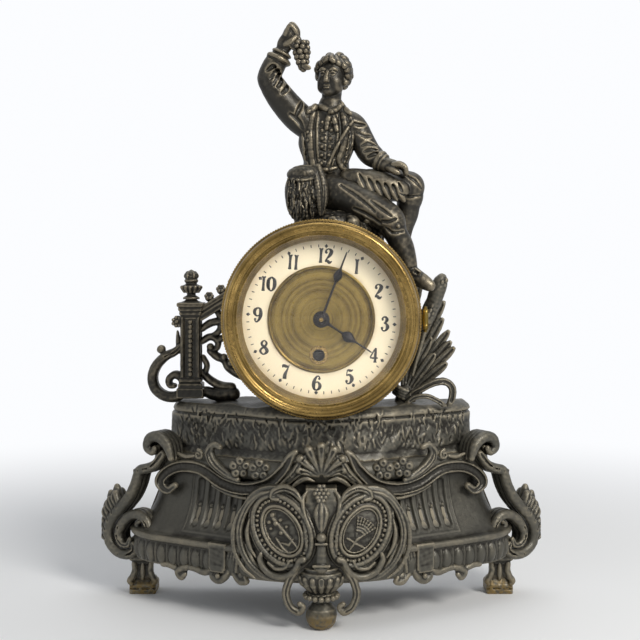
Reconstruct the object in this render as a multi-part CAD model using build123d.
from build123d import *
import math
import os

# A figural mantel clock: a cast case with a seated boy, a brass bezel and dial, and a drum movement with
# a short pendulum. Millimetres and degrees, +Z up, +Y to the back, the origin on the table under the
# middle of the clock. Places along the dial axis are "forward" distances, from the dial axis's own origin
# towards the viewer.

# Case
DIAL_HEIGHT = 177.0
DRUM_RADIUS = 54.0
DRUM_WALL = 3.0
DRUM_FRONT = 34.0
DRUM_LENGTH = 76.0
SADDLE_DEPTH = 1.0
DEPTH_SHIFT = 5.5
FIT = 0.1
RUN = 0.05

# Plinth: plan, heights and how far each moulding stands out from the plan's inner line
BOW_RADIUS = 69.0
BOW_FRONT = 25.0
FLANK_ANGLE = 30.0
HALF_WIDTH = 96.0
CORNER_RADIUS = 14.0
PLINTH_BACK = 41.0
APRON_BOTTOM = 26.0
LEDGE_HEIGHT = 44.0
LEDGE_NOSING = 4.0
CORNICE_HEIGHT = 80.0
PLINTH_TOP = 92.0
LEDGE_OUT = 24.0
NECK_OUT = 5.0
CORNICE_OUT = 9.0
PLINTH_WALL = 4.0
FLUTE_RADIUS = 2.6
FLUTE_PITCH = 9.0
FLUTE_COUNT = 5

# Relief on the front of the plinth
BOSS_RISE = 6.0
MEDALLION_X = 22.5
MEDALLION_HEIGHT = 56.0
MEDALLION_LENGTH = 36.0
MEDALLION_WIDTH = 26.0
MEDALLION_TILT = 33.0
MEDALLION_RISE = 1.6
FRAME_MARGIN = 7.0
CREST_RISE = 3.5
SHELL_RADIUS = 17.0
SHELL_LOBES = 7
SHELL_SPREAD = 27.0
BAND_WIDTH = 5.5
ROSETTE_RADIUS = 6.5
ROSETTE_PLACES = (36.5, 48.5)

# Feet and side arms
FRONT_BALL_RADIUS = 9.0
FRONT_CUP_RADIUS = 12.5
SIDE_FOOT_X = 113.0
SIDE_FOOT_WIDTH = 17.0
SIDE_FOOT_DEPTH = 18.0
SIDE_FOOT_Y = 31.0
ARM_X = 103.0
ARM_Y = 12.0
ARM_TURN = 33.0
ARM_DEPTH = 12.0
ARM_STRAP = 5.4

# Terrace
TERRACE_WALL = 4.0
TERRACE_FLARE = 3.0
TERRACE_BATTER = 5.0

# Pillar, rail and sheaf
PILLAR_X = -83.0
PILLAR_Y = 28.0
PILLAR_HALF = 6.6
PILLAR_RISE = 64.0
FINIAL_RISE = 18.0
RAIL_DEPTH = 9.0
SCROLL_TUBE = 3.0
SHEAF_X = 52.0
SHEAF_Y = 15.0

# Bezel, dial and hands
BEZEL_RADIUS = 58.5
BEZEL_DEPTH = 12.0
BEZEL_CLEAR = 0.3
GLASS_RADIUS = 50.0
GLASS_THICKNESS = 1.6
GLASS_CROWN = 3.5
RING_FLANGE = 2.0
RING_SKIRT = 6.0
FLANGE_RADIUS = 56.0
DIAL_RADIUS = 46.8
DIAL_SIGHT = 45.5
DIAL_THICKNESS = 1.0
CENTRE_RADIUS = 31.4
CENTRE_SINK = 1.0
BEAD_WIDTH = 2.0
WINDING_HOLE = 4.2
DIAL_TURN = 4.0
MINUTE_LENGTH = 42.0
HOUR_LENGTH = 35.0
HAND_THICKNESS = 0.8
MINUTE_ANGLE = 20.8
HOUR_ANGLE = 123.3
HAND_CLEAR = 1.5
HAND_STEP = 1.9
HOUR_PIPE = 3.0
CANNON_PIPE = 2.0
CENTRE_THICKNESS = 0.8
DIAL_FEET = (30, 150, 270)
DIAL_FOOT_CIRCLE = 40.0
DIAL_FOOT = 1.5

# Hinges, back cover, straps and screws
KNUCKLE_RADIUS = 1.7
KNUCKLE_LENGTH = 6.0
KNUCKLE_GAP = 0.2
HINGE_REACH = 7.5
HINGE_PIN = 0.9
HINGE_LIFT = 0.9
GLASS_LIP = 2.55
COVER_MARGIN = 3.4
STRAP_THICKNESS = 1.6
STRAP_WIDTH = 10.0
STRAP_CLEAR = 0.3
SCREW_RADIUS = 0.6
SCREW_HEAD = 1.6
SCREW_HEAD_DEPTH = 1.4

# Movement: the plates, then the train from the barrel to the pendulum
PLATE_RADIUS = 49.0
BACK_PLATE_RADIUS = 42.0
PLATE_THICKNESS = 2.0
PLATE_SPACING = 28.0
PILLAR_CIRCLE = 37.0
PILLAR_ROD = 3.0
SHAKE = 0.3
GREAT_TEETH = 74
GREAT_MODULE = 0.5
CENTRE_LEAVES = 10
CENTRE_TEETH = 90
CENTRE_MODULE = 0.3
THIRD_LEAVES = 6
THIRD_TEETH = 90
THIRD_MODULE = 0.27
ESCAPE_LEAVES = 6
ESCAPE_TEETH = 30
ESCAPE_RADIUS = 8.0
THIRD_ANGLE = 60.0
CANNON_LEAVES = 12
MINUTE_TEETH = 36
CANNON_MODULE = 0.5
MINUTE_LEAVES = 10
HOUR_TEETH = 40
HOUR_MODULE = 0.48
WHEEL_THICKNESS = 1.2
BARREL_WALL = 1.2
BARREL_RADIUS = 16.5
BARREL_LENGTH = 16.4
SPRING_THICKNESS = 0.5
SPRING_TURNS = 8
RATCHET_TEETH = 24
RATCHET_RADIUS = 6.5
PENDULUM_LENGTH = 70.7
BOB_RADIUS = 9.0
BOB_THICKNESS = 5.0
ROD_RADIUS = 0.7
ROD_BEHIND = 6.5
COCK_BEHIND = 11.0
COCK_THICKNESS = 1.5
ARBOR = 1.2
THIN_ARBOR = 0.9
PIVOT = 0.6
POST = 1.0
BARREL_ARBOR = 2.0
WINDING_SQUARE = 2.8
PILLAR_TENON = 1.5
GREAT_SET_BACK = 5.6
CENTRE_LIFT = 2.4
THIRD_LIFT = 14.0
ESCAPE_LIFT = 8.0
CLICK_REACH = 3.4
CLICK_DROP = 1.5

# Worked out from the above
DRUM_BORE = DRUM_RADIUS - DRUM_WALL
DRUM_BACK = DRUM_FRONT - DRUM_LENGTH
TERRACE_TOP = DIAL_HEIGHT - DRUM_RADIUS + SADDLE_DEPTH
SEAT_LEVEL = DIAL_HEIGHT + DRUM_RADIUS
BOW_CENTRE = BOW_RADIUS - BOW_FRONT
DIAL_FACE = DRUM_FRONT + RING_FLANGE
PLATE_FRONT = DRUM_FRONT - RING_SKIRT
PLATE_INNER = PLATE_FRONT - PLATE_THICKNESS
BACK_INNER = PLATE_INNER - PLATE_SPACING
BACK_OUTER = BACK_INNER - PLATE_THICKNESS
BEZEL_BACK = DIAL_FACE + BEZEL_CLEAR
BEZEL_FRONT = BEZEL_BACK + BEZEL_DEPTH
BARREL_DROP = GREAT_MODULE * (GREAT_TEETH + CENTRE_LEAVES) / 2
THIRD_REACH = CENTRE_MODULE * (CENTRE_TEETH + THIRD_LEAVES) / 2
ESCAPE_REACH = THIRD_MODULE * (THIRD_TEETH + ESCAPE_LEAVES) / 2
MINUTE_REACH = CANNON_MODULE * (CANNON_LEAVES + MINUTE_TEETH) / 2
HALF_KNUCKLE = KNUCKLE_LENGTH / 2
FIXED_KNUCKLE = ((-HALF_KNUCKLE, HALF_KNUCKLE),)
DOOR_KNUCKLES = (
    (HALF_KNUCKLE + KNUCKLE_GAP, HINGE_REACH),
    (-HINGE_REACH, -HALF_KNUCKLE - KNUCKLE_GAP),
)
BEZEL_HINGE = BEZEL_RADIUS + KNUCKLE_RADIUS + 0.4
BEZEL_HINGE_FORWARD = BEZEL_BACK + HINGE_LIFT
GLASS_EDGE = BEZEL_FRONT - GLASS_LIP - GLASS_THICKNESS
COVER_RADIUS = DRUM_BORE - COVER_MARGIN
COVER_HINGE = -COVER_RADIUS - KNUCKLE_RADIUS - 0.3
COVER_SEAT = DRUM_BACK - RING_FLANGE
COVER_HINGE_FORWARD = COVER_SEAT - KNUCKLE_RADIUS
STRAP_RADIUS = DRUM_BORE - STRAP_CLEAR - STRAP_THICKNESS / 2
CENTRE_FRONT = DIAL_FACE - CENTRE_SINK
CENTRE_BACK = CENTRE_FRONT - CENTRE_THICKNESS
HOUR_HAND_BACK = DIAL_FACE + HAND_CLEAR
MINUTE_HAND_BACK = HOUR_HAND_BACK + HAND_STEP
GREAT_BACK = PLATE_INNER - GREAT_SET_BACK
BARREL_BACK = GREAT_BACK - BARREL_LENGTH
CENTRE_WHEEL_BACK = BACK_INNER + CENTRE_LIFT
THIRD_WHEEL_BACK = BACK_INNER + THIRD_LIFT
ESCAPE_BACK = BACK_INNER + ESCAPE_LIFT
ANCHOR_BACK = BACK_OUTER - COCK_BEHIND
ROD_FORWARD = BACK_OUTER - ROD_BEHIND
BARREL_AT = (0, -BARREL_DROP)
MINUTE_AT = (-MINUTE_REACH, 0)
CLICK_AT = (RATCHET_RADIUS + CLICK_REACH, -BARREL_DROP - CLICK_DROP)
THIRD_TURN = math.radians(THIRD_ANGLE)
THIRD_AT = (THIRD_REACH * math.cos(THIRD_TURN), THIRD_REACH * math.sin(THIRD_TURN))
ESCAPE_ANGLE = math.degrees(math.acos(-THIRD_AT[0] / ESCAPE_REACH))
ESCAPE_AT = (0, THIRD_AT[1] + ESCAPE_REACH * math.sin(math.radians(ESCAPE_ANGLE)))
ANCHOR_AT = (0, ESCAPE_AT[1] + ESCAPE_RADIUS * math.sqrt(2) + 0.2)
FRONT = Plane(origin=(0, 0, DIAL_HEIGHT), x_dir=(1, 0, 0), z_dir=(0, -1, 0)).location
CLOCKWORK = FRONT * Rot(0, 0, -DIAL_TURN)
PLUMB = CLOCKWORK * Pos(*ANCHOR_AT) * Rot(0, 0, DIAL_TURN)


# Common forms
def polar(radius, angle):
    """Point at a radius and an angle in degrees."""
    return (radius * math.cos(math.radians(angle)), radius * math.sin(math.radians(angle)))


def turned(*outline):
    """Solid turned about +Z from a closed outline of (radius, height) points."""
    return revolve(Plane.XZ * make_face(Polyline(*outline, close=True)), Axis.Z)


def turned_face(*edges):
    """Solid turned about +Z from the edges of a closed (radius, height) outline."""
    return revolve(Plane.XZ * make_face(edges), Axis.Z)


def shaft(radius, start, end):
    """Round bar along +Z between two heights."""
    return Pos(0, 0, (start + end) / 2) * Cylinder(radius, abs(end - start))


def slab(face, start, end):
    """Flat piece with the outline of a face, between two heights."""
    return Pos(0, 0, start) * extrude(face, amount=end - start)


def limb(*joints):
    """Rounded, tapering limb through joints given as (x, y, z, radius)."""
    pieces = [Pos(x, y, z) * Sphere(radius) for x, y, z, radius in joints]
    for first, last in zip(joints, joints[1:]):
        start = Vector(*first[:3])
        run = Vector(*last[:3]) - start
        bone = Cone(first[3], last[3], run.length, align=(Align.CENTER, Align.CENTER, Align.MIN))
        pieces.append(Plane(origin=start, z_dir=run).location * bone)
    return pieces[0].fuse(*pieces[1:])


def body_loft(*rings):
    """Smooth body through level ellipses given as (x, y, z, half width, half depth)."""
    return loft([Pos(x, y, z) * Ellipse(width, depth) for x, y, z, width, depth in rings])


def largest(shape):
    """Biggest solid of a shape that a cut has left in pieces."""
    return shape.solids().sort_by(SortBy.VOLUME)[-1]


def leaf(start, end, width):
    """Face of a leaf between two points, rounded on both edges."""
    tail = Vector(*start)
    tip = Vector(*end)
    middle = (tail + tip) / 2
    side = (tip - tail).rotate(Axis.Z, 90).normalized() * width / 2
    return make_face([ThreePointArc(tail, middle + side, tip), ThreePointArc(tip, middle - side, tail)])


def flowing(start, heading, *points):
    """Wire of arcs through points in the XZ plane, each tangent to the one before."""
    edges = []
    place = Vector(*start)
    for point in points:
        edges.append(TangentArc(place, Vector(*point), tangent=heading))
        heading = edges[-1].tangent_at(1)
        place = Vector(*point)
    return edges


def swept_strap(edges, strap, depth):
    """Strap of rounded oblong section along edges drawn in (x, z), centred on the XZ plane."""
    path = Plane.XZ.location * Wire(edges)
    section = Plane(origin=path.position_at(0), x_dir=(0, 1, 0), z_dir=path.tangent_at(0))
    return sweep(section * RectangleRounded(depth, strap, strap * 0.35), path=path)


def swept_tube(edges, radius):
    """Round tube along edges drawn in (x, z), centred on the XZ plane."""
    path = Plane.XZ.location * Wire(edges)
    return sweep(Plane(origin=path.position_at(0), z_dir=path.tangent_at(0)) * Circle(radius), path=path)


def toothed(teeth, module, addendum, facing, gap=False):
    """Face of a wheel with a tooth, or of a pinion with a gap, facing a direction in degrees."""
    pitch_radius = teeth * module / 2
    half = 0.18 * math.pi * module
    profile = ((pitch_radius - 1.25 * module, half), (pitch_radius + addendum * module, 0.5 * half))
    corners = []
    for tooth in range(teeth):
        angle = facing + 360 * (tooth + (0.5 if gap else 0)) / teeth
        for radius, width in profile:
            corners.append(polar(radius, angle - math.degrees(width / radius)))
        for radius, width in reversed(profile):
            corners.append(polar(radius, angle + math.degrees(width / radius)))
    return make_face(Polyline(*corners, close=True))


def crossed_wheel(teeth, module, facing, hub, spokes):
    """Face of a wheel with its crossings cut out."""
    rim = teeth * module / 2 - 1.25 * module - 1.3
    arms = [Rot(0, 0, 360 * k / spokes) * Pos(rim / 2, 0) * Rectangle(rim + 1, 1.5) for k in range(spokes)]
    return toothed(teeth, module, 0.8, facing) - (Circle(rim) - Circle(hub) - arms)


# Plinth
def plan_edges(offset):
    """Edges round the left side, the front and the right side, moved outward by an offset."""
    slope = math.radians(FLANK_ANGLE)
    turn = math.radians(90 - FLANK_ANGLE)
    bow = BOW_RADIUS + offset
    corner = CORNER_RADIUS + offset
    reach = HALF_WIDTH + offset
    bow_end = (bow * math.sin(slope), BOW_CENTRE - bow * math.cos(slope))
    knee = bow_end[1] + (reach - bow_end[0]) * math.tan(slope)
    run = corner * math.tan(turn / 2)
    flank_end = (reach - run * math.cos(slope), knee - run * math.sin(slope))
    side_start = (reach, knee + run)
    bend = (reach - corner + corner * math.cos(turn / 2), side_start[1] - corner * math.sin(turn / 2))
    right = (bow_end, flank_end, bend, side_start, (reach, PLINTH_BACK))
    left = [(-x, y) for x, y in right]
    return [
        Line(left[4], left[3]),
        ThreePointArc(left[3], left[2], left[1]),
        Line(left[1], left[0]),
        ThreePointArc(left[0], (0, BOW_CENTRE - bow), right[0]),
        Line(right[0], right[1]),
        ThreePointArc(right[1], right[2], right[3]),
        Line(right[3], right[4]),
    ]


def plan_face(offset, height):
    """Level face of the whole plan, closed along the back."""
    edges = plan_edges(offset)
    return Pos(0, 0, height) * make_face(edges + [Line(edges[-1] @ 1, edges[0] @ 0)])


def round_the_front(section):
    """Section of (offset, height) points carried round the sides and the front."""
    start = (-HALF_WIDTH, PLINTH_BACK, 0)
    return sweep(Plane(origin=start, x_dir=(-1, 0, 0), z_dir=(0, 1, 0)) * section, path=Wire(plan_edges(0)))


def skin(inner, outer, bottom, top):
    """Wall between two offsets and two heights, round the sides and the front."""
    corners = ((inner, bottom), (outer, bottom), (outer, top), (inner, top))
    return round_the_front(make_face(Polyline(*corners, close=True)))


def relief(sketch, inner, outer, bottom, top):
    """Ornament drawn in (x, z) as seen from the front, standing between two offsets."""
    depth = PLINTH_BACK + LEDGE_OUT + BOW_RADIUS
    block = Pos(0, PLINTH_BACK, 0) * extrude(Plane.XZ * sketch, amount=depth)
    return block & skin(inner, outer, bottom, top)


def cavetto():
    """Centre height, radius and centre offset of the hollow moulding between ledge and cornice."""
    rise = CORNICE_HEIGHT - LEDGE_HEIGHT
    run = LEDGE_OUT - LEDGE_NOSING - NECK_OUT
    radius = (rise ** 2 + run ** 2) / (2 * run)
    return radius, NECK_OUT + radius


def plinth_section():
    """Outline of the plinth's moulded wall."""
    radius, centre = cavetto()
    ledge_in = LEDGE_OUT - LEDGE_NOSING
    sweep_angle = math.degrees(math.atan2(CORNICE_HEIGHT - LEDGE_HEIGHT, centre - ledge_in))

    def hollow(size, angle):
        across, down = polar(size, angle)
        return (centre - across, CORNICE_HEIGHT - down)

    inner = radius + PLINTH_WALL
    band = LEDGE_OUT - 2
    band_top = LEDGE_HEIGHT - LEDGE_NOSING
    return make_face([
        Line((band - PLINTH_WALL, APRON_BOTTOM), (band, APRON_BOTTOM)),
        ThreePointArc((band, APRON_BOTTOM), (band + 1.5, (APRON_BOTTOM + band_top) / 2), (band, band_top)),
        Line((band, band_top), (LEDGE_OUT, band_top)),
        ThreePointArc((LEDGE_OUT, band_top), (LEDGE_OUT + 1.2, band_top + LEDGE_NOSING / 2),
                      (LEDGE_OUT, LEDGE_HEIGHT)),
        Line((LEDGE_OUT, LEDGE_HEIGHT), (ledge_in, LEDGE_HEIGHT)),
        ThreePointArc((ledge_in, LEDGE_HEIGHT), hollow(radius, sweep_angle / 2), (NECK_OUT, CORNICE_HEIGHT)),
        Line((NECK_OUT, CORNICE_HEIGHT), (CORNICE_OUT, CORNICE_HEIGHT + 2)),
        ThreePointArc((CORNICE_OUT, CORNICE_HEIGHT + 2),
                      (CORNICE_OUT + 1.2, (CORNICE_HEIGHT + PLINTH_TOP) / 2), (CORNICE_OUT, PLINTH_TOP - 2)),
        Line((CORNICE_OUT, PLINTH_TOP - 2), (CORNICE_OUT - 2, PLINTH_TOP)),
        Line((CORNICE_OUT - 2, PLINTH_TOP), (NECK_OUT - PLINTH_WALL, PLINTH_TOP)),
        Line((NECK_OUT - PLINTH_WALL, PLINTH_TOP), (NECK_OUT - PLINTH_WALL, CORNICE_HEIGHT)),
        ThreePointArc((NECK_OUT - PLINTH_WALL, CORNICE_HEIGHT), hollow(inner, sweep_angle / 2),
                      hollow(inner, sweep_angle)),
        Line(hollow(inner, sweep_angle), (band - PLINTH_WALL, APRON_BOTTOM)),
    ])


def flutes():
    """Hollow flutes that follow the cavetto along both flanks."""
    radius, centre = cavetto()
    slope = math.radians(FLANK_ANGLE)
    flank_start = Vector(BOW_RADIUS * math.sin(slope), BOW_CENTRE - BOW_RADIUS * math.cos(slope))
    along = Vector(math.cos(slope), math.sin(slope))
    outward = Vector(math.sin(slope), -math.cos(slope))
    ring = Torus(radius - 0.4, FLUTE_RADIUS)
    found = []
    for flute in range(FLUTE_COUNT):
        place = flank_start + along * FLUTE_PITCH * (flute + 1.2) + outward * centre
        spot = Plane(origin=(place.X, place.Y, CORNICE_HEIGHT), x_dir=tuple(outward), z_dir=tuple(along))
        found.append(spot.location * ring)
    found += [mirror(flute, Plane.YZ) for flute in found]
    window = skin(0, LEDGE_OUT, LEDGE_HEIGHT + 6, CORNICE_HEIGHT - 4)
    return [flute & window for flute in found]


def plinth():
    """Moulded wall round the front and sides, a plain back, open underneath."""
    low = HALF_WIDTH + LEDGE_OUT - PLINTH_WALL
    high = HALF_WIDTH + NECK_OUT - PLINTH_WALL / 2
    half = [(low, APRON_BOTTOM), (low - 2, LEDGE_HEIGHT - 2), (high, CORNICE_HEIGHT), (high, PLINTH_TOP)]
    outline = Polyline(*half, *[(-x, z) for x, z in reversed(half)], close=True)
    back = Pos(0, PLINTH_BACK, 0) * extrude(Plane.XZ * make_face(outline), amount=PLINTH_WALL)
    return (round_the_front(plinth_section()) + back) - flutes()


# Ornament on the plinth
def bombe(rise):
    """Barrel-shaped front that leans back towards its top, turned about the bow's own centre."""
    ledge = BOW_RADIUS + LEDGE_OUT
    top = (ledge - 10 + rise, CORNICE_HEIGHT + 6)
    bottom = (ledge - 5 + rise, APRON_BOTTOM - 4)
    core = BOW_RADIUS - PLINTH_WALL
    body = turned_face(
        Line((core, bottom[1]), bottom),
        ThreePointArc(bottom, (ledge + rise, LEDGE_HEIGHT + 2), top),
        Line(top, (core, top[1])),
        Line((core, top[1]), (core, bottom[1])),
    )
    return Pos(0, BOW_CENTRE, 0) * body


def medallion_face(side, margin):
    """Oval that leans outward at its top, on the right (+1) or the left (-1)."""
    oval = Ellipse(MEDALLION_LENGTH / 2 + margin, MEDALLION_WIDTH / 2 + margin)
    return Pos(side * MEDALLION_X, MEDALLION_HEIGHT) * Rot(0, 0, 90 - side * MEDALLION_TILT) * oval


def front_block(sketch, shape):
    """Part of a turned shape that lies behind an outline drawn in (x, z)."""
    return extrude(Plane.XZ * sketch, amount=2 * BOW_RADIUS) & shape


def shield_face():
    """Outline of the shield: two ovals and the stem between them."""
    rise = CORNICE_HEIGHT - APRON_BOTTOM
    stem = Pos(0, APRON_BOTTOM + rise / 2) * RectangleRounded(14, rise, 5)
    return medallion_face(1, FRAME_MARGIN) + medallion_face(-1, FRAME_MARGIN) + stem


def cartouche(base):
    """Swelling shield behind the two medallions, with the stem between them."""
    shield = front_block(shield_face(), bombe(BOSS_RISE - MEDALLION_RISE)) - base
    return shield.solids().sort_by(Axis.Y)[0]


def medallions():
    """Two oval plaques with raised rims."""
    raised = bombe(BOSS_RISE)
    ground = bombe(BOSS_RISE - MEDALLION_RISE)
    sunk = bombe(BOSS_RISE - MEDALLION_RISE / 2)
    pair = []
    for side in (1, -1):
        plaque = front_block(medallion_face(side, 0), raised) - ground
        pair.append(plaque - (front_block(medallion_face(side, -2.5), raised) - sunk))
    return Compound(children=pair)


def crest_band():
    """Shell over the middle, scroll bands that dip under the rosettes, and volutes at the ends."""
    lobe = Pos(SHELL_RADIUS * 0.55, 0) * Ellipse(SHELL_RADIUS * 0.5, 3.2)
    first = 90 - SHELL_SPREAD * (SHELL_LOBES - 1) / 2
    shell = [Pos(0, PLINTH_TOP - 5) * Rot(0, 0, first + SHELL_SPREAD * k) * lobe for k in range(SHELL_LOBES)]
    path = flowing((3, PLINTH_TOP + 1), (0.66, -0.75), (37, CORNICE_HEIGHT + 2), (78, PLINTH_TOP),
                   (93, PLINTH_TOP - 4), (91, CORNICE_HEIGHT), (85, CORNICE_HEIGHT + 4))
    band = trace(path, BAND_WIDTH)
    flowers = [Pos(x, PLINTH_TOP - 2) * Circle(ROSETTE_RADIUS) for x in ROSETTE_PLACES]
    bounds = (CORNICE_OUT + 1.2, CORNICE_OUT + 1.2 + CREST_RISE, CORNICE_HEIGHT - 6, PLINTH_TOP + 14)
    right = Sketch() + flowers + [band]
    return relief(Sketch() + shell + right + mirror(right, Plane.YZ) - shield_face(), *bounds)


# Feet and side arms
def front_foot():
    """Ball foot under a cup, flat where it stands."""
    ball = FRONT_BALL_RADIUS
    flat = ball * 0.45
    cup = FRONT_CUP_RADIUS
    drop = math.sqrt(ball ** 2 - flat ** 2)
    neck = drop + ball * 0.85
    body = turned_face(
        Line((0, 0), (flat, 0)),
        ThreePointArc((flat, 0), (ball, drop), (ball * 0.5, neck)),
        ThreePointArc((ball * 0.5, neck), (cup * 0.8, neck + 2), (cup, APRON_BOTTOM - 3)),
        ThreePointArc((cup, APRON_BOTTOM - 3), (cup + 1, APRON_BOTTOM - 1.5), (cup, APRON_BOTTOM)),
        Line((cup, APRON_BOTTOM), (0, APRON_BOTTOM)),
        Line((0, APRON_BOTTOM), (0, 0)),
    )
    path = flowing((cup - 3, APRON_BOTTOM + 14), (0.4, -1), (cup + 1, APRON_BOTTOM - 2),
                   (ball - 1.5, neck - 3))
    bracket = Pos(0, -5, 0) * swept_tube(path, 2.2)
    foot = body.fuse(bracket, mirror(bracket, Plane.YZ))
    return Pos(0, BOW_CENTRE - BOW_RADIUS - LEDGE_OUT + PLINTH_WALL, 0) * foot


def side_foot():
    """Block foot with a waist, under the right end of the plinth."""
    half = SIDE_FOOT_WIDTH / 2
    waist = half * 0.72
    outline = make_face([
        Line((-half, 0), (half, 0)),
        Line((half, 0), (half, 6)),
        ThreePointArc((half, 6), (waist, 12), (half * 1.1, 20)),
        Line((half * 1.1, 20), (half * 1.1, APRON_BOTTOM)),
        Line((half * 1.1, APRON_BOTTOM), (-half, APRON_BOTTOM)),
        Line((-half, APRON_BOTTOM), (-half, 20)),
        ThreePointArc((-half, 20), (-waist, 12), (-half, 6)),
        Line((-half, 6), (-half, 0)),
    ])
    block = extrude(Plane.XZ * outline, amount=SIDE_FOOT_DEPTH / 2, both=True)
    return Pos(SIDE_FOOT_X, SIDE_FOOT_Y, 0) * block


def side_arm():
    """Scrolled strap from the cornice corner out and down to the ledge on the right, with its leaf."""
    top = PLINTH_TOP + 10
    coil = [
        ThreePointArc((0, top - 6), (4.8, top - 10.8), (0, top - 15.6)),
        ThreePointArc((0, top - 15.6), (-7.8, top - 7.8), (0, top)),
    ]
    strap = flowing((0, top), (1, 0), (14, top - 12), (26, top - 32), (39, top - 53),
                    (30, APRON_BOTTOM + 1), (16, APRON_BOTTOM + 6))
    arm = swept_strap(coil + strap, ARM_STRAP, ARM_DEPTH)
    frond = extrude(Plane.XZ * leaf((22, top - 40), (34, top - 27), 9), amount=4, both=True)
    return Pos(ARM_X, ARM_Y, 0) * Rot(0, 0, ARM_TURN) * (arm + frond)


# Terrace and drum
def drum_bar(radius):
    """Round bar on the dial axis, longer than the drum."""
    return FRONT * shaft(radius, DRUM_BACK - 10, DRUM_FRONT + 10)


def drum_case():
    """Cast drum, open at both ends."""
    return FRONT * turned((DRUM_BORE, DRUM_BACK), (DRUM_RADIUS, DRUM_BACK), (DRUM_RADIUS, DRUM_FRONT),
                          (DRUM_BORE, DRUM_FRONT))


def terrace():
    """Rocky terrace on the plinth, hollow from below, with a saddle for the drum."""
    rise = TERRACE_TOP - PLINTH_TOP
    steps = ((TERRACE_FLARE, 0), (0, 0.3), (-1.5, 0.8), (-TERRACE_BATTER, 1))
    shell = loft([plan_face(offset, PLINTH_TOP + share * rise) for offset, share in steps], ruled=True)
    roof = TERRACE_TOP - SADDLE_DEPTH - TERRACE_WALL
    hollow = loft([
        plan_face(TERRACE_FLARE - TERRACE_WALL, PLINTH_TOP - 1),
        plan_face(-TERRACE_WALL, PLINTH_TOP + 0.3 * rise),
        plan_face(-1.5 - TERRACE_WALL, roof),
    ], ruled=True)
    room = Pos(0, -TERRACE_WALL - 2, PLINTH_TOP) * Box(500, 2 * PLINTH_BACK, 200)
    return shell - (hollow & room) - drum_bar(DRUM_RADIUS)


def seat_rock():
    """Rock that the boy sits on, hollowed to the drum."""
    rock = loft([
        Pos(8, 2, SEAT_LEVEL - 12) * RectangleRounded(60, 50, 14),
        Pos(9, 3, SEAT_LEVEL + 4) * RectangleRounded(52, 42, 14),
        Pos(11, 4, SEAT_LEVEL + 15) * RectangleRounded(38, 32, 12),
    ], ruled=True)
    return rock - drum_bar(DRUM_RADIUS)


# Pillar, rail and sheaf
def pillar():
    """Square garden pillar with a moulded base and capital."""
    half = PILLAR_HALF
    rise = PILLAR_RISE
    side = [(half + 1.8, 0), (half + 1.8, 7), (half + 0.6, 10), (half, 12), (half, rise - 16),
            (half + 1.2, rise - 15), (half + 0.4, rise - 13), (half + 2, rise - 7), (half + 2, rise - 3),
            (half + 0.6, rise)]
    outline = make_face(Polyline(*side, *[(-x, z) for x, z in reversed(side)], close=True))
    front = extrude(Plane.XZ * outline, amount=half + 10, both=True)
    return Pos(PILLAR_X, PILLAR_Y, TERRACE_TOP) * (front & Rot(0, 0, 90) * front)


def pillar_finial():
    """Turned urn with a ball on the pillar."""
    rise = FINIAL_RISE
    urn = turned_face(
        Line((0, 0), (6.5, 0)),
        Line((6.5, 0), (3.2, 2.5)),
        ThreePointArc((3.2, 2.5), (7.2, 7), (4, 11)),
        Line((4, 11), (2, 12)),
        Line((2, 12), (2, rise - 3)),
        Line((2, rise - 3), (0, rise - 3)),
        Line((0, rise - 3), (0, 0)),
    )
    ball = Pos(0, 0, rise - 3.2) * Sphere(3.2)
    return Pos(PILLAR_X, PILLAR_Y, TERRACE_TOP + PILLAR_RISE) * (urn + ball)


def pillar_scroll(column):
    """C-scroll on the left of the pillar, standing on the terrace's edge."""
    edge = PILLAR_X - PILLAR_HALF
    foot = TERRACE_TOP + SCROLL_TUBE
    path = flowing((edge + 2, foot + 31), (-1, 0.2), (edge - 11, foot + 24), (edge - 16, foot + 8),
                   (edge - 4, foot), (edge - 0.5, foot + 9), (edge - 6, foot + 11))
    ball = Pos(edge - 12, 0, foot + 25) * Sphere(SCROLL_TUBE * 1.4)
    return Pos(0, PILLAR_Y, 0) * (swept_tube(path, SCROLL_TUBE) + ball) - column


def raking_rail(column):
    """Sloping coping from the pillar up to the drum, with ball crockets and a scroll below it."""
    start = PILLAR_X + PILLAR_HALF - 2
    low = TERRACE_TOP + PILLAR_RISE - 12
    slope = 0.75
    end = start + 30
    coping = make_face(Polyline((start, low), (end, low + slope * 30), (end, low + slope * 30 + 7),
                                (start, low + 7), close=True))
    rail = extrude(Plane.XZ * coping, amount=RAIL_DEPTH / 2, both=True)
    balls = [Pos(start + x, 0, low + slope * x + 8.5) * Sphere(3) for x in (7, 15, 23)]
    path = flowing((start + 1, TERRACE_TOP + 16), (1, 0.3), (start + 12, TERRACE_TOP + 30),
                   (start + 9, TERRACE_TOP + 44), (start + 20, TERRACE_TOP + 62))
    scroll = swept_tube(path, SCROLL_TUBE)
    return Pos(0, PILLAR_Y, 0) * rail.fuse(scroll, *balls) - column - drum_bar(DRUM_RADIUS)


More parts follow.
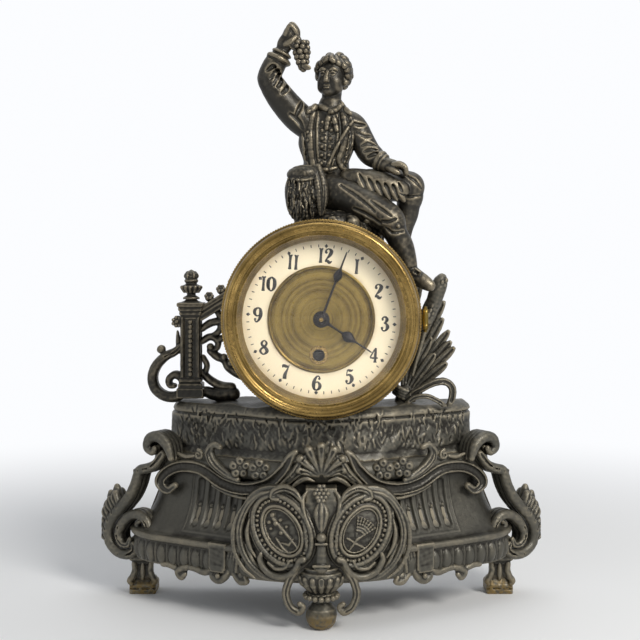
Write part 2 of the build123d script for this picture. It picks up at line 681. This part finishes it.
def wheat_sheaf(ground):
    """Bound sheaf of long leaves with one ear, and two leaves that droop to the terrace."""
    foot = Vector(SHEAF_X, TERRACE_TOP - 4)
    blades = []
    tips = ((20, 80, 9), (12, 74, 10), (28, 60, 11), (31, 48, 11), (30, 36, 11), (27, 28, 9), (16, 62, 12))
    for number, (reach, rise, width) in enumerate(tips):
        face = leaf(foot, foot + Vector(reach, rise), width)
        blades.append(Pos(0, 6 - 2.5 * number, 0) * extrude(Plane.XZ * face, amount=2.4, both=True))
    ear = limb((SHEAF_X + 16, 0, TERRACE_TOP + 44, 2.2), (SHEAF_X + 23, 0, TERRACE_TOP + 68, 4.2),
               (SHEAF_X + 25, 0, TERRACE_TOP + 76, 2.4))
    knot = Pos(SHEAF_X + 3, 0, TERRACE_TOP + 4) * Rot(0, 15, 0) * Cylinder(8, 8)
    droops = [
        swept_strap(flowing((SHEAF_X + 1, TERRACE_TOP + 4), (0.7, 0.75), (SHEAF_X + 25, TERRACE_TOP + 15),
                            (SHEAF_X + 28.5, TERRACE_TOP + 1)), 2.4, 7),
        swept_strap(flowing((SHEAF_X + 1, TERRACE_TOP + 2), (0.8, 0.5), (SHEAF_X + 14, TERRACE_TOP + 6),
                            (SHEAF_X + 25, TERRACE_TOP + 1)), 2.4, 6),
    ]
    whole = knot.fuse(ear, *blades, Pos(0, -7, 0) * droops[0], Pos(0, -10, 0) * droops[1])
    return Pos(0, SHEAF_Y, 0) * whole - drum_bar(DRUM_RADIUS) - ground


# Figure: places are relative to the top of the drum
def figure():
    """Pieces of the seated boy, each cut where it meets the ones before it."""
    seat = Pos(0, 0, SEAT_LEVEL)
    rock = seat_rock()
    torso = seat * body_loft((10, 11, 14, 15, 12), (8, 11, 26, 17, 13), (3, 9, 38, 14.5, 11),
                             (3, 7, 54, 18, 12.5), (4, 7, 68, 18, 10), (5.5, 6, 76, 7.5, 7))
    skull = Plane(origin=(7, 2, 92), z_dir=(0.1, -0.12, 1)).location * turned_face(
        ThreePointArc((0, -13.5), (8.2, -7), (10.6, 2)),
        ThreePointArc((10.6, 2), (8, 9.5), (0, 13)),
        Line((0, 13), (0, -13.5)),
    )
    hair = Pos(8, 5, 95) * Sphere(12)
    nose = Plane(origin=(3.5, -8.5, 91), z_dir=(-0.25, -1, -0.3)).location * Cone(2, 0.8, 4)
    neck = limb((6, 6, 72, 6), (6.5, 4.5, 84, 5.6))
    head = largest(seat * skull.fuse(hair, nose, neck) - torso)
    raised = seat * limb((-11, 6, 67, 8.2), (-32, 3, 89, 7), (-27, -2, 106, 6.6), (-22.5, -4, 116, 4.2),
                         (-18, -4, 123.5, 2.8)) - torso
    resting = seat * limb((18.5, 7, 66, 7.6), (30, 6, 47, 6.8), (40, -2, 38, 5.2),
                          (47, -6, 36.5, 4.4)) - torso
    near = seat * limb((10, 3, 22, 11), (41, -8, 7, 8.4), (50, -6, -10, 7.6), (54, -4, -24, 5.2)) - torso
    shoe = seat * limb((54, -4, -26, 5.4), (64, -9, -34, 4.6))
    near = near.fuse(shoe) - rock - drum_bar(DRUM_RADIUS)
    far = seat * limb((16, 12, 24, 11), (55, 8, 27, 8.6), (52, 9, 10, 7.4), (50, 10, -6, 5.4)) - torso
    far = far - rock - near - resting - drum_bar(DRUM_RADIUS)
    bag = seat * body_loft((-9, -8, 3, 6, 5), (-10, -9, 12, 10.5, 8), (-9, -8, 28, 10, 7.5),
                           (-7, -6, 39, 7, 5))
    bag = bag - torso - near - rock
    bunch = [(-13.5, 110, 3.4), (-15.5, 106.5, 3.4), (-12, 105.5, 3.4), (-14, 101, 3.3), (-11, 99.5, 3),
             (-12.5, 95.5, 2.6)]
    stalk = limb((-18, -5, 120, 1.4), (-13.5, -5, 108, 1.2))
    grapes = seat * stalk.fuse(*[Pos(x, -5, z) * Sphere(size) for x, z, size in bunch]) - raised - head
    return {
        "seat_rock": rock - torso,
        "figure_torso": torso,
        "figure_head": head,
        "raised_arm": raised,
        "resting_arm": resting - near,
        "near_leg": near,
        "far_leg": far,
        "game_bag": bag,
        "grape_bunch": grapes,
    }


# Bezel and back: hinges turn about vertical pins
def knuckle(place, forward, lengths, reach, floor):
    """Hinge knuckles at a place along X, with a tab to the piece that carries them."""
    pieces = []
    for start, end in lengths:
        spot = Pos(place, (start + end) / 2, forward)
        barrel = spot * Rot(90, 0, 0) * Cylinder(KNUCKLE_RADIUS, end - start)
        tab = Pos((place + reach) / 2, (start + end) / 2, (forward + floor) / 2)
        pieces.append(barrel + tab * Box(abs(place - reach), end - start, abs(forward - floor)))
    return pieces


def hinge_bar(place, forward, radius):
    """Upright bar on a hinge axis."""
    return Pos(place, 0, forward) * Rot(90, 0, 0) * Cylinder(radius, 2 * HINGE_REACH)


def bezel_ring():
    """Brass bezel with a milled flange, a rounded front and a seat for the glass."""
    rim = BEZEL_RADIUS
    seat = GLASS_RADIUS + FIT
    lip = GLASS_RADIUS - 1.2
    front = BEZEL_FRONT
    ring = turned_face(
        Line((seat + 2.5, BEZEL_BACK), (rim, BEZEL_BACK)),
        Line((rim, BEZEL_BACK), (rim, BEZEL_BACK + 2.8)),
        Line((rim, BEZEL_BACK + 2.8), (rim - 1.4, BEZEL_BACK + 2.8)),
        ThreePointArc((rim - 1.4, BEZEL_BACK + 2.8), (rim - 3.2, front - 2), (seat + 2, front)),
        Line((seat + 2, front), (lip, front - 1.2)),
        Line((lip, front - 1.2), (lip, front - 2.4)),
        Line((lip, front - 2.4), (seat, front - 2.4)),
        Line((seat, front - 2.4), (seat, front - 5.6)),
        Line((seat, front - 5.6), (seat + 2.5, front - 5.6)),
        Line((seat + 2.5, front - 5.6), (seat + 2.5, BEZEL_BACK)),
    )
    leaves = knuckle(BEZEL_HINGE, BEZEL_HINGE_FORWARD, DOOR_KNUCKLES, rim - 2, BEZEL_BACK + 2.6)
    bore = hinge_bar(BEZEL_HINGE, BEZEL_HINGE_FORWARD, HINGE_PIN + RUN)
    return FRONT * (ring.fuse(*leaves) - bore)


def glass_curve(edge):
    """Arc of the glass from its edge up to the axis."""
    crown = GLASS_CROWN - GLASS_THICKNESS
    bend = (GLASS_RADIUS ** 2 + crown ** 2) / (2 * crown)
    half = math.asin(GLASS_RADIUS / bend) / 2
    middle = (bend * math.sin(half), edge + crown - bend * (1 - math.cos(half)))
    return (GLASS_RADIUS, edge), middle, (0, edge + crown)


def bezel_glass():
    """Convex glass in the bezel."""
    back = glass_curve(GLASS_EDGE)
    front = glass_curve(GLASS_EDGE + GLASS_THICKNESS)
    return FRONT * turned_face(
        ThreePointArc(*back),
        Line(back[2], front[2]),
        ThreePointArc(*reversed(front)),
        Line(front[0], back[0]),
    )


def slip_ring():
    """Sloping brass ring between glass and dial, carried in the bezel behind the glass."""
    seat = GLASS_RADIUS + FIT
    back = BEZEL_FRONT - 5.6
    edge = GLASS_EDGE
    sight = DIAL_SIGHT + 0.4
    return FRONT * turned((seat, back), (seat, edge), (GLASS_RADIUS - 1.4, edge), (sight, BEZEL_BACK + 1.6),
                          (sight, BEZEL_BACK + 0.6), (sight + 0.6, BEZEL_BACK + 0.6))


def front_ring():
    """Brass seat in the drum's mouth that carries dial, plates and the bezel's hinge."""
    inner = DIAL_RADIUS + FIT
    skirt = DRUM_BORE - FIT
    ring = turned((inner, PLATE_FRONT), (skirt, PLATE_FRONT), (skirt, DRUM_FRONT),
                  (FLANGE_RADIUS, DRUM_FRONT), (FLANGE_RADIUS, DIAL_FACE), (inner, DIAL_FACE))
    lug = knuckle(BEZEL_HINGE, BEZEL_HINGE_FORWARD, FIXED_KNUCKLE, FLANGE_RADIUS - 2, DRUM_FRONT + 0.2)
    room = shaft(BEZEL_RADIUS + 0.3, DIAL_FACE, BEZEL_FRONT)
    bore = hinge_bar(BEZEL_HINGE, BEZEL_HINGE_FORWARD, HINGE_PIN)
    return FRONT * (ring + (lug[0] - room) - bore)


def back_ring():
    """Brass ring in the drum's back that carries the cover's hinge and takes the strap screws."""
    skirt = DRUM_BORE - FIT
    inner = skirt - 4
    deep = DRUM_BACK + RING_SKIRT
    ring = turned((inner - 2, COVER_SEAT), (FLANGE_RADIUS, COVER_SEAT), (FLANGE_RADIUS, DRUM_BACK),
                  (skirt, DRUM_BACK), (skirt, deep), (inner, deep), (inner, DRUM_BACK),
                  (inner - 2, DRUM_BACK))
    edge = COVER_HINGE - KNUCKLE_RADIUS
    lug = knuckle(COVER_HINGE, COVER_HINGE_FORWARD, FIXED_KNUCKLE, edge, COVER_SEAT)
    bore = hinge_bar(COVER_HINGE, COVER_HINGE_FORWARD, HINGE_PIN)
    return FRONT * (ring + lug[0] - bore - strap_screw_bars(SCREW_RADIUS))


def back_cover():
    """Dished brass cover on its hinge."""
    seat = COVER_SEAT - KNUCKLE_GAP
    dish = turned((0, seat - 3.2), (COVER_RADIUS - 4, seat - 3.2), (COVER_RADIUS - 2, seat - 2.2),
                  (COVER_RADIUS, seat - 2.2), (COVER_RADIUS, seat), (COVER_RADIUS - 1.2, seat),
                  (COVER_RADIUS - 1.2, seat - 1.2), (COVER_RADIUS - 2.6, seat - 1.2),
                  (COVER_RADIUS - 4.4, seat - 2.2), (0, seat - 2.2))
    leaves = knuckle(COVER_HINGE, COVER_HINGE_FORWARD, DOOR_KNUCKLES, 1 - COVER_RADIUS, seat - 2.2)
    return FRONT * (dish.fuse(*leaves) - hinge_bar(COVER_HINGE, COVER_HINGE_FORWARD, HINGE_PIN + RUN))


def hinge_pins():
    """Pin of the bezel's hinge and pin of the cover's hinge."""
    return FRONT * Compound(children=[
        hinge_bar(BEZEL_HINGE, BEZEL_HINGE_FORWARD, HINGE_PIN),
        hinge_bar(COVER_HINGE, COVER_HINGE_FORWARD, HINGE_PIN),
    ])


def strap_screw_bars(radius):
    """Bars where the strap screws pass, at the top and the bottom."""
    bar = shaft(radius, COVER_SEAT - 1, DRUM_BACK + RING_SKIRT + 6)
    return [Pos(0, side * STRAP_RADIUS, 0) * bar for side in (1, -1)]


def movement_straps():
    """Two flat straps from the front ring to the back ring."""
    length = PLATE_FRONT - DRUM_BACK - RING_SKIRT
    middle = (PLATE_FRONT + DRUM_BACK + RING_SKIRT) / 2
    bar = Box(STRAP_WIDTH, STRAP_THICKNESS, length)
    inside = shaft(DRUM_BORE - FIT, DRUM_BACK, DRUM_FRONT)
    bars = [inside & Pos(0, side * STRAP_RADIUS, middle) * bar for side in (1, -1)]
    return FRONT * Compound(children=[strap - strap_screw_bars(SCREW_RADIUS) for strap in bars])


def strap_screws():
    """Slotted screws that draw the straps to the back ring."""
    screws = []
    for bar in strap_screw_bars(SCREW_RADIUS):
        top = COVER_SEAT - SCREW_HEAD_DEPTH
        head = shaft(SCREW_HEAD, top, COVER_SEAT) - Pos(0, 0, top) * Box(4 * SCREW_HEAD, 0.5, 1)
        screws.append(bar + Pos(bar.center().X, bar.center().Y, 0) * head)
    return FRONT * Compound(children=screws)


# Dial and hands
def chapter_ring():
    """Cream ring for the numerals, with feet to the front plate."""
    back = DIAL_FACE - DIAL_THICKNESS
    ring = turned((CENTRE_RADIUS, back), (DIAL_RADIUS, back), (DIAL_RADIUS, DIAL_FACE),
                  (CENTRE_RADIUS, DIAL_FACE))
    post = shaft(DIAL_FOOT, PLATE_FRONT, back)
    feet = [Pos(*polar(DIAL_FOOT_CIRCLE, angle)) * post for angle in DIAL_FEET]
    return CLOCKWORK * ring.fuse(*feet)


def dial_centre():
    """Turned brass disc, sunk a little behind the chapter ring."""
    edge = CENTRE_RADIUS + 1.4
    back = DIAL_FACE - DIAL_THICKNESS
    disc = turned((0, CENTRE_BACK), (edge, CENTRE_BACK), (edge, back), (CENTRE_RADIUS - BEAD_WIDTH, back),
                  (CENTRE_RADIUS - BEAD_WIDTH - 0.2, CENTRE_FRONT), (0, CENTRE_FRONT))
    pipe_hole = shaft(HOUR_PIPE + 0.3, CENTRE_BACK, DIAL_FACE)
    key_hole = Pos(*BARREL_AT) * shaft(WINDING_HOLE, CENTRE_BACK, DIAL_FACE)
    return CLOCKWORK * (disc - pipe_hole - key_hole)


def dial_bead():
    """Half-round brass bead between the chapter ring and the centre."""
    back = DIAL_FACE - DIAL_THICKNESS
    outer = CENTRE_RADIUS
    inner = CENTRE_RADIUS - BEAD_WIDTH
    crown = ((inner + outer) / 2, DIAL_FACE + BEAD_WIDTH / 2)
    return CLOCKWORK * turned_face(
        Line((inner, back), (outer, back)),
        Line((outer, back), (outer, DIAL_FACE)),
        ThreePointArc((outer, DIAL_FACE), crown, (inner, DIAL_FACE)),
        Line((inner, DIAL_FACE), (inner, back)),
    )


def winding_grommet():
    """Brass eyelet round the winding hole."""
    lip = WINDING_HOLE + 1.3
    bore = WINDING_HOLE - 0.7
    eyelet = turned((bore, CENTRE_BACK), (WINDING_HOLE, CENTRE_BACK), (WINDING_HOLE, CENTRE_FRONT),
                    (lip, CENTRE_FRONT), (lip - 0.3, CENTRE_FRONT + 0.5), (bore, CENTRE_FRONT + 0.5))
    return CLOCKWORK * (Pos(*BARREL_AT) * eyelet)


def hand(length, bulb, bulb_width, boss, stem, hole):
    """Face of a spade hand that points along +Y."""
    half = bulb_width / 2
    edge = [(half * 0.85, bulb + half * 0.5), (half * 0.3, bulb + half * 2), (stem * 0.28, length - 1)]
    blade = Circle(half).moved(Pos(0, bulb)) + make_face(
        Polyline(*edge, (0, length), *[(-x, y) for x, y in reversed(edge)], close=True))
    bar = Pos(0, bulb / 2) * Rectangle(stem, bulb)
    return Circle(boss) + bar + blade - Circle(hole)


def hour_hand():
    """Hour hand on the hour wheel's pipe."""
    face = hand(HOUR_LENGTH, HOUR_LENGTH * 0.53, 6, 4.8, 1.6, HOUR_PIPE)
    blade = slab(face, HOUR_HAND_BACK, HOUR_HAND_BACK + HAND_THICKNESS)
    return FRONT * (Rot(0, 0, -HOUR_ANGLE) * blade)


def minute_hand():
    """Minute hand on the cannon pinion's pipe."""
    face = hand(MINUTE_LENGTH, MINUTE_LENGTH * 0.64, 4.8, 3.4, 1.2, CANNON_PIPE)
    blade = slab(face, MINUTE_HAND_BACK, MINUTE_HAND_BACK + HAND_THICKNESS)
    return FRONT * (Rot(0, 0, -MINUTE_ANGLE) * blade)


def hand_nut():
    """Round nut that holds the minute hand on the centre arbor."""
    seat = MINUTE_HAND_BACK + HAND_THICKNESS
    return CLOCKWORK * turned((ARBOR, seat), (2.6, seat), (2.2, seat + 0.9), (ARBOR, seat + 1.1))


# Movement
def pillar_places():
    """Places of the four plate pillars."""
    return [polar(PILLAR_CIRCLE, 45 + 90 * k) for k in range(4)]


def front_plate():
    """Front plate with the minute wheel's post and the click's post."""
    disc = slab(Circle(PLATE_RADIUS), PLATE_INNER, PLATE_FRONT)
    holes = [shaft(ARBOR + RUN, PLATE_INNER, PLATE_FRONT)]
    holes += [Pos(*BARREL_AT) * shaft(BARREL_ARBOR + RUN, PLATE_INNER, PLATE_FRONT)]
    pivot_hole = shaft(PIVOT + RUN, PLATE_INNER, PLATE_FRONT)
    holes += [Pos(*spot) * pivot_hole for spot in (THIRD_AT, ESCAPE_AT, ANCHOR_AT)]
    posts = [Pos(*MINUTE_AT) * shaft(POST, PLATE_FRONT, PLATE_FRONT + 5)]
    posts += [Pos(*CLICK_AT) * shaft(POST, PLATE_FRONT, PLATE_FRONT + 2.4)]
    return CLOCKWORK * ((disc - holes).fuse(*posts))


def back_plate():
    """Back plate, smaller than the front one."""
    disc = slab(Circle(BACK_PLATE_RADIUS), BACK_OUTER, BACK_INNER)
    holes = [Pos(*BARREL_AT) * shaft(BARREL_ARBOR + RUN, BACK_OUTER, BACK_INNER)]
    pivot_hole = shaft(PIVOT + RUN, BACK_OUTER, BACK_INNER)
    holes += [Pos(*spot) * pivot_hole for spot in ((0, 0), THIRD_AT, ESCAPE_AT)]
    holes += [Pos(*ANCHOR_AT) * shaft(THIN_ARBOR + RUN, BACK_OUTER, BACK_INNER)]
    tenon_hole = shaft(PILLAR_TENON, BACK_OUTER, BACK_INNER)
    holes += [Pos(*spot) * tenon_hole for spot in pillar_places()]
    return CLOCKWORK * (disc - holes)


def plate_pillars():
    """Four turned pillars whose ends pass through the back plate to their nuts."""
    middle = (PLATE_INNER + BACK_INNER) / 2
    rod = turned((0, BACK_OUTER), (PILLAR_TENON, BACK_OUTER), (PILLAR_TENON, BACK_INNER),
                 (PILLAR_ROD, BACK_INNER), (PILLAR_ROD, BACK_INNER + 3), (PILLAR_ROD * 0.7, middle),
                 (PILLAR_ROD, PLATE_INNER - 3), (PILLAR_ROD, PLATE_INNER), (0, PLATE_INNER))
    nut = slab(RegularPolygon(PILLAR_ROD, 6), BACK_OUTER - 2, BACK_OUTER)
    return CLOCKWORK * Compound(children=[Pos(*spot) * (rod + nut) for spot in pillar_places()])


def barrel():
    """Spring barrel with the great wheel as its front wall."""
    wheel = slab(toothed(GREAT_TEETH, GREAT_MODULE, 0.8, 90), GREAT_BACK, GREAT_BACK + 1.8)
    tube = Circle(BARREL_RADIUS) - Circle(BARREL_RADIUS - BARREL_WALL)
    wall = slab(tube, BARREL_BACK + BARREL_WALL, GREAT_BACK)
    hole = shaft(BARREL_ARBOR + RUN, BARREL_BACK, GREAT_BACK + 2)
    return CLOCKWORK * (Pos(*BARREL_AT) * (wheel + wall - hole))


def barrel_cover():
    """Lid of the barrel."""
    lid = slab(Circle(BARREL_RADIUS) - Circle(BARREL_ARBOR + RUN), BARREL_BACK, BARREL_BACK + BARREL_WALL)
    return CLOCKWORK * (Pos(*BARREL_AT) * lid)


def mainspring():
    """Wound strip in half turns of growing radius, from near the core out to the barrel's wall."""
    first = BARREL_ARBOR + 3
    last = BARREL_RADIUS - BARREL_WALL - SPRING_THICKNESS / 2 - 0.2
    step = (last - first) / (2 * SPRING_TURNS)
    edges = []
    for half in range(2 * SPRING_TURNS):
        side = 1 if half % 2 == 0 else -1
        start = side * (first + step * half)
        end = -side * (first + step * (half + 1))
        radius = abs(start - end) / 2
        edges.append(ThreePointArc((start, 0), ((start + end) / 2, side * radius), (end, 0)))
    low = BARREL_BACK + BARREL_WALL + 0.8
    high = GREAT_BACK - 0.8
    section = Plane(origin=(first, 0, 0), x_dir=(1, 0, 0), z_dir=(0, 1, 0))
    band = Pos(0, -(low + high) / 2) * Rectangle(SPRING_THICKNESS, high - low)
    return CLOCKWORK * (Pos(*BARREL_AT) * sweep(section * band, path=Wire(edges)))


def winding_arbor():
    """Barrel arbor with its core and the winding square behind the dial's hole."""
    core = shaft(BARREL_ARBOR + 1.5, BARREL_BACK + BARREL_WALL + SHAKE, GREAT_BACK - SHAKE)
    journal = shaft(BARREL_ARBOR, BACK_OUTER, PLATE_FRONT)
    square = slab(Rectangle(WINDING_SQUARE, WINDING_SQUARE), PLATE_FRONT, CENTRE_BACK - 0.6)
    return CLOCKWORK * (Pos(*BARREL_AT) * core.fuse(journal, square))


def ratchet_wheel():
    """Ratchet wheel on the winding square."""
    corners = []
    for tooth in range(RATCHET_TEETH):
        angle = 360 * tooth / RATCHET_TEETH
        corners.append(polar(RATCHET_RADIUS, angle))
        corners.append(polar(RATCHET_RADIUS - 0.9, angle + 1))
    face = make_face(Polyline(*corners, close=True)) - Rectangle(WINDING_SQUARE, WINDING_SQUARE)
    return CLOCKWORK * (Pos(*BARREL_AT) * slab(face, PLATE_FRONT + SHAKE, PLATE_FRONT + SHAKE + 1.6))


def click():
    """Click on its post, its beak over the ratchet's teeth."""
    reach = CLICK_AT[0] - RATCHET_RADIUS - 0.3
    beak = make_face(Polyline((0, 1.6), (0, -1.6), (-reach, 3.2), (-reach + 0.2, 4.0), close=True))
    face = Circle(1.9) + beak - Circle(POST + RUN)
    return CLOCKWORK * (Pos(*CLICK_AT) * slab(face, PLATE_FRONT + SHAKE, PLATE_FRONT + SHAKE + 1.6))


def centre_wheel():
    """Centre arbor with its pinion and wheel, long enough to carry the hands."""
    low = BACK_INNER + SHAKE
    bar = shaft(ARBOR, low, MINUTE_HAND_BACK + HAND_THICKNESS + 1.6) + shaft(PIVOT, BACK_OUTER, low)
    leaves = toothed(CENTRE_LEAVES, GREAT_MODULE, 0.7, -90, gap=True)
    pinion = slab(leaves, GREAT_BACK - 0.8, GREAT_BACK + 2.6)
    face = crossed_wheel(CENTRE_TEETH, CENTRE_MODULE, THIRD_ANGLE, 3, 5)
    wheel = slab(face, CENTRE_WHEEL_BACK, CENTRE_WHEEL_BACK + WHEEL_THICKNESS)
    return CLOCKWORK * bar.fuse(pinion, wheel)


def third_wheel():
    """Third arbor with its pinion and wheel."""
    pinion_top = CENTRE_WHEEL_BACK + WHEEL_THICKNESS + 1
    teeth = toothed(THIRD_LEAVES, CENTRE_MODULE, 0.7, THIRD_ANGLE + 180, gap=True)
    leaves = slab(teeth, BACK_INNER + SHAKE, pinion_top)
    bar = shaft(PIVOT, PLATE_INNER - SHAKE, PLATE_FRONT) + shaft(THIN_ARBOR, pinion_top, PLATE_INNER - SHAKE)
    foot = shaft(0.5, BACK_OUTER, BACK_INNER + SHAKE)
    face = crossed_wheel(THIRD_TEETH, THIRD_MODULE, ESCAPE_ANGLE, 3, 5)
    wheel = slab(face, THIRD_WHEEL_BACK, THIRD_WHEEL_BACK + WHEEL_THICKNESS)
    return CLOCKWORK * (Pos(*THIRD_AT) * bar.fuse(leaves, foot, wheel))


def escape_wheel():
    """Escape wheel with pointed teeth, on its arbor with a pinion."""
    corners = []
    for tooth in range(ESCAPE_TEETH):
        angle = 360 * tooth / ESCAPE_TEETH
        corners.append(polar(ESCAPE_RADIUS, angle))
        corners.append(polar(ESCAPE_RADIUS - 1.3, angle + 3.5))
        corners.append(polar(ESCAPE_RADIUS - 1.3, angle + 9))
    spokes = [Rot(0, 0, 120 * k) * Pos(3.2, 0) * Rectangle(6.4, 1.2) for k in range(3)]
    window = Circle(ESCAPE_RADIUS - 2.3) - Circle(2) - spokes
    wheel = slab(make_face(Polyline(*corners, close=True)) - window, ESCAPE_BACK, ESCAPE_BACK + 1)
    low = THIRD_WHEEL_BACK - 0.8
    high = THIRD_WHEEL_BACK + WHEEL_THICKNESS + 0.8
    teeth = toothed(ESCAPE_LEAVES, THIRD_MODULE, 0.7, ESCAPE_ANGLE + 180, gap=True)
    leaves = slab(teeth, low, high)
    bar = shaft(THIN_ARBOR, BACK_INNER + SHAKE, low) + shaft(THIN_ARBOR, high, PLATE_INNER - SHAKE)
    pivots = shaft(PIVOT, BACK_OUTER, BACK_INNER + SHAKE) + shaft(PIVOT, PLATE_INNER - SHAKE, PLATE_FRONT)
    return CLOCKWORK * (Pos(*ESCAPE_AT) * bar.fuse(leaves, wheel, pivots))


def anchor():
    """Anchor on its arbor: two arms that reach over the escape wheel, clear of its teeth."""
    drop = ESCAPE_AT[1] - ANCHOR_AT[1]
    room = ESCAPE_RADIUS + 1.1
    ring = Pos(0, drop) * (Circle(room + 2) - Circle(room))
    wedge = Pos(0, drop) * make_face(Polyline((0, 0), polar(30, 42), polar(30, 138), close=True))
    stem = Pos(0, (drop + room + 1) / 2) * Rectangle(3, -(drop + room + 1))
    face = (ring & wedge) + stem + Circle(2.2)
    inner = PLATE_INNER - SHAKE
    bar = shaft(THIN_ARBOR, ANCHOR_BACK, inner) + shaft(PIVOT, inner, PLATE_FRONT)
    pivot = shaft(PIVOT, ANCHOR_BACK - COCK_THICKNESS, ANCHOR_BACK)
    arms = slab(face, ESCAPE_BACK - 0.2, ESCAPE_BACK + 1.2)
    return CLOCKWORK * (Pos(*ANCHOR_AT) * bar.fuse(pivot, arms))


def anchor_cock():
    """Bridge behind the back plate that carries the anchor arbor's rear pivot."""
    back = ANCHOR_BACK - SHAKE - COCK_THICKNESS
    bridge = slab(SlotCenterToCenter(22, 6), back, ANCHOR_BACK - SHAKE)
    feet = [Pos(x, 0) * shaft(2.2, ANCHOR_BACK - SHAKE, BACK_OUTER) for x in (-11, 11)]
    hole = shaft(PIVOT + RUN, back, ANCHOR_BACK)
    return CLOCKWORK * (Pos(*ANCHOR_AT) * (bridge.fuse(*feet) - hole))


def rod_bar(radius, start, end):
    """Bar down from the anchor's axis, where the pendulum's rod hangs."""
    return Pos(0, -(start + end) / 2, ROD_FORWARD) * Rot(90, 0, 0) * Cylinder(radius, end - start)


def pendulum_rod():
    """Rod with a collet on the anchor arbor, and the rating nut below the bob."""
    collet = shaft(2.2, ROD_FORWARD - 1.5, ROD_FORWARD + 1.5)
    bottom = PENDULUM_LENGTH + BOB_RADIUS
    rod = rod_bar(ROD_RADIUS, 0, bottom).fuse(collet, rod_bar(1.8, bottom, bottom + 1.8))
    return PLUMB * (rod - shaft(THIN_ARBOR, ROD_FORWARD - 3, ROD_FORWARD + 3))


def pendulum_bob():
    """Lens-shaped brass bob, threaded on the rod."""
    half = BOB_THICKNESS / 2
    bend = ((BOB_RADIUS ** 2) + half ** 2) / (2 * half)
    cap = Pos(0, 0, half - bend) * Sphere(bend)
    lens = cap & Rot(180, 0, 0) * cap & Cylinder(BOB_RADIUS - 0.6, BOB_THICKNESS)
    hang = Pos(0, -PENDULUM_LENGTH, ROD_FORWARD) * lens
    return PLUMB * (hang - rod_bar(ROD_RADIUS, 0, PENDULUM_LENGTH + BOB_RADIUS))


def cannon_pinion():
    """Pipe on the centre arbor with the first pinion of the motion work."""
    low = PLATE_FRONT + SHAKE
    leaves = slab(toothed(CANNON_LEAVES, CANNON_MODULE, 0.7, 180, gap=True), low, low + 1.8)
    pipe = shaft(CANNON_PIPE, low, MINUTE_HAND_BACK + HAND_THICKNESS)
    return CLOCKWORK * (leaves + pipe - shaft(ARBOR, low, MINUTE_HAND_BACK + 3))


def minute_wheel():
    """Intermediate wheel and pinion of the motion work, on its post."""
    low = PLATE_FRONT + 2 * SHAKE
    wheel = slab(crossed_wheel(MINUTE_TEETH, CANNON_MODULE, 0, 3, 4), low, low + WHEEL_THICKNESS)
    leaves = slab(toothed(MINUTE_LEAVES, HOUR_MODULE, 0.7, 0, gap=True), low + WHEEL_THICKNESS, low + 3.6)
    return CLOCKWORK * (Pos(*MINUTE_AT) * (wheel + leaves - shaft(POST + RUN, low, low + 5)))


def hour_wheel():
    """Hour wheel on a pipe that turns on the cannon pinion."""
    low = PLATE_FRONT + 2.6
    wheel = slab(crossed_wheel(HOUR_TEETH, HOUR_MODULE, 180, 4, 4), low, low + WHEEL_THICKNESS)
    pipe = shaft(HOUR_PIPE, low, HOUR_HAND_BACK + HAND_THICKNESS)
    return CLOCKWORK * (wheel + pipe - shaft(CANNON_PIPE + RUN, low, HOUR_HAND_BACK + 2))


def all_nodes():
    """Every node of the clock by name."""
    base = plinth()
    ground = terrace()
    arm = largest(side_arm() - base - ground)
    column = pillar()
    shield = cartouche(base)
    foot = largest(side_foot() - arm)
    left_arm = mirror(arm, Plane.YZ)
    nodes = {
        "plinth": base,
        "cartouche": shield,
        "medallions": medallions(),
        "crest_band": largest(crest_band() - arm - left_arm),
        "front_foot": front_foot() - shield - base,
        "side_arm_left": left_arm,
        "side_arm_right": arm,
        "side_foot_left": mirror(foot, Plane.YZ),
        "side_foot_right": foot,
        "terrace": ground,
        "drum_case": drum_case(),
        "pillar": column,
        "pillar_finial": pillar_finial(),
        "pillar_scroll": pillar_scroll(column),
        "raking_rail": raking_rail(column),
        "wheat_sheaf": wheat_sheaf(ground),
    }
    nodes.update(figure())
    makers = (
        bezel_ring, bezel_glass, slip_ring, front_ring, back_ring, back_cover, hinge_pins, movement_straps,
        strap_screws, chapter_ring, dial_centre, dial_bead, winding_grommet, hour_hand, minute_hand,
        hand_nut, front_plate, back_plate, plate_pillars, barrel, barrel_cover, mainspring, winding_arbor,
        ratchet_wheel, click, centre_wheel, third_wheel, escape_wheel, anchor, anchor_cock, pendulum_rod,
        pendulum_bob, cannon_pinion, minute_wheel, hour_wheel,
    )
    for maker in makers:
        nodes[maker.__name__] = maker()
    return nodes


os.makedirs("parts", exist_ok=True)
for name, shape in all_nodes().items():
    export_step(Pos(0, DEPTH_SHIFT, 0) * shape, f"parts/{name}.step")
